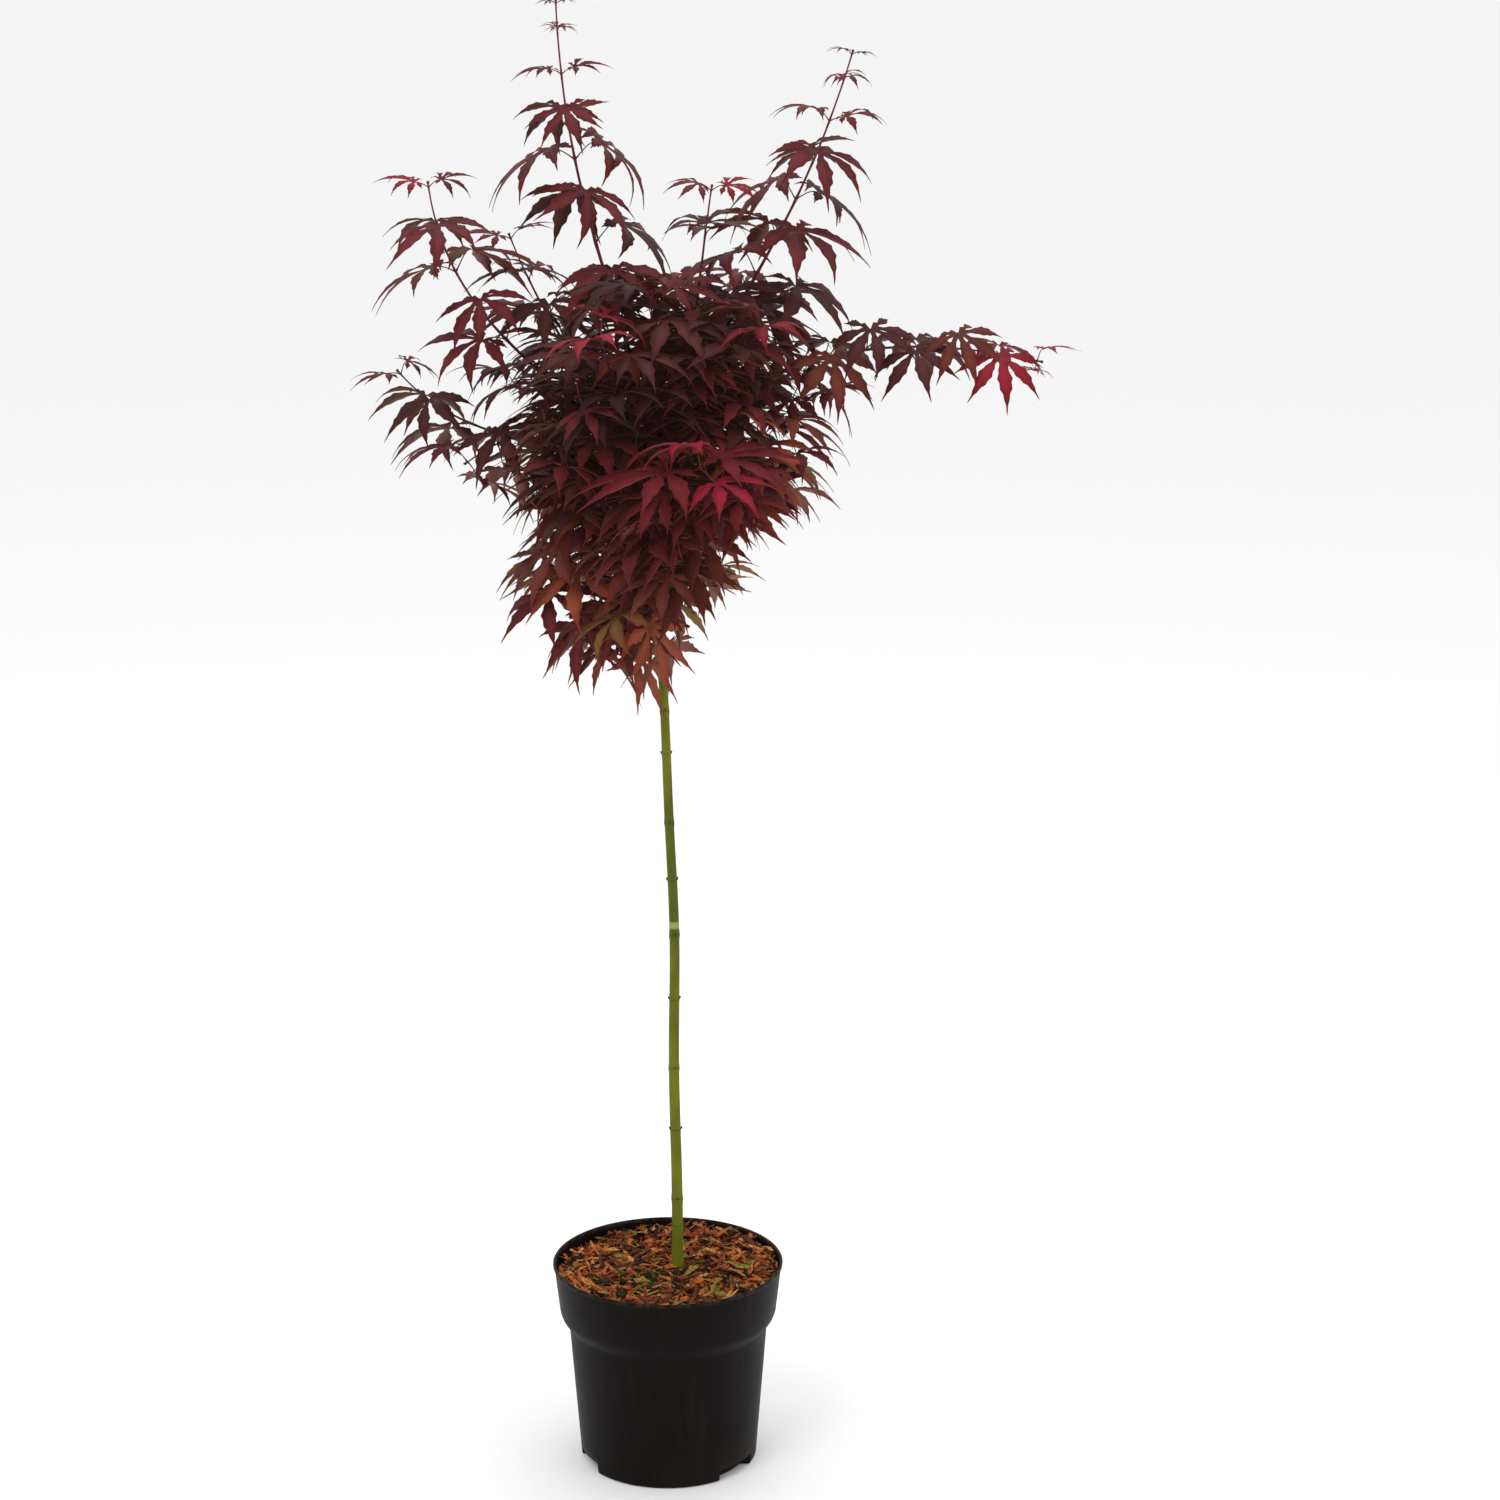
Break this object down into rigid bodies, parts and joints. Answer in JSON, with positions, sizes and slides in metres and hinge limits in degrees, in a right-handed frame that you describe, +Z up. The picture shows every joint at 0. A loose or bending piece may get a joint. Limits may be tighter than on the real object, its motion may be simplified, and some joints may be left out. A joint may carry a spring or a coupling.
{
  "type": "potted japanese maple standard",
  "caption": "Slim green-stemmed standard shrub in a round tapered nursery pot, with an open crown of purple-red palmate leaves on arching shoots.",
  "frame": {"origin": "centre of the pot's flat underside, where it rests on the ground", "axes": "+Z up along the pot's axis; +X to the right and +Y away from the viewer who sees the crown's one long low shoot on the right"},
  "size_m": [0.6983, 0.4977, 1.5021],
  "materials": {
    "pot_plastic": "warm near-black, matt, finely scuffed",
    "bark_mulch": "shredded bark over potting mix, rough",
    "green_stem": "smooth green bark with ring scars, satin",
    "shoot_bark": "smooth purple-brown bark",
    "leaf_dark": "dark burgundy leaf, soft sheen",
    "leaf_red": "crimson-burgundy leaf, soft sheen",
    "leaf_bronze": "bronze-red leaf, soft sheen"
  },
  "bodies": {
    "root": {"pot": "pot_plastic", "potting_mix": "bark_mulch", "trunk": "green_stem", "bough_bottom_left": "shoot_bark", "bough_bottom_right": "shoot_bark", "bough_bottom_front": "shoot_bark", "bough_bottom_back": "shoot_bark", "bough_lower_left": "shoot_bark", "bough_lower_right": "shoot_bark", "bough_lower_front": "shoot_bark", "bough_lower_back": "shoot_bark", "bough_middle_left": "shoot_bark", "bough_middle_right": "shoot_bark", "bough_front_rosette": "shoot_bark", "bough_middle_back": "shoot_bark", "bough_front_middle": "shoot_bark", "bough_right_middle": "shoot_bark", "bough_low_left": "shoot_bark", "bough_back_right": "shoot_bark", "bough_front_left": "shoot_bark", "bough_back_left": "shoot_bark", "bough_high_left": "shoot_bark", "bough_long_right": "shoot_bark", "bough_crown_front": "shoot_bark", "bough_inner_left": "shoot_bark", "bough_right_high": "shoot_bark", "bough_right_leader": "shoot_bark", "bough_middle_leader": "shoot_bark", "bough_left_leader": "shoot_bark", "foliage_bottom_left": "leaf_dark", "foliage_bottom_right": "leaf_red", "foliage_bottom_front": "leaf_bronze", "foliage_bottom_back": "leaf_dark", "foliage_lower_left": "leaf_red", "foliage_lower_right": "leaf_bronze", "foliage_lower_front": "leaf_dark", "foliage_lower_back": "leaf_red", "foliage_middle_left": "leaf_bronze", "foliage_middle_right": "leaf_dark", "foliage_front_rosette": "leaf_red", "foliage_middle_back": "leaf_bronze", "foliage_front_middle": "leaf_dark", "foliage_right_middle": "leaf_red", "foliage_low_left": "leaf_bronze", "foliage_back_right": "leaf_dark", "foliage_front_left": "leaf_red", "foliage_back_left": "leaf_bronze", "foliage_high_left": "leaf_dark", "foliage_long_right": "leaf_red", "foliage_crown_front": "leaf_bronze", "foliage_inner_left": "leaf_dark", "foliage_right_high": "leaf_red", "foliage_right_leader": "leaf_bronze", "foliage_middle_leader": "leaf_dark", "foliage_left_leader": "leaf_red"}
  },
  "joints": []
}
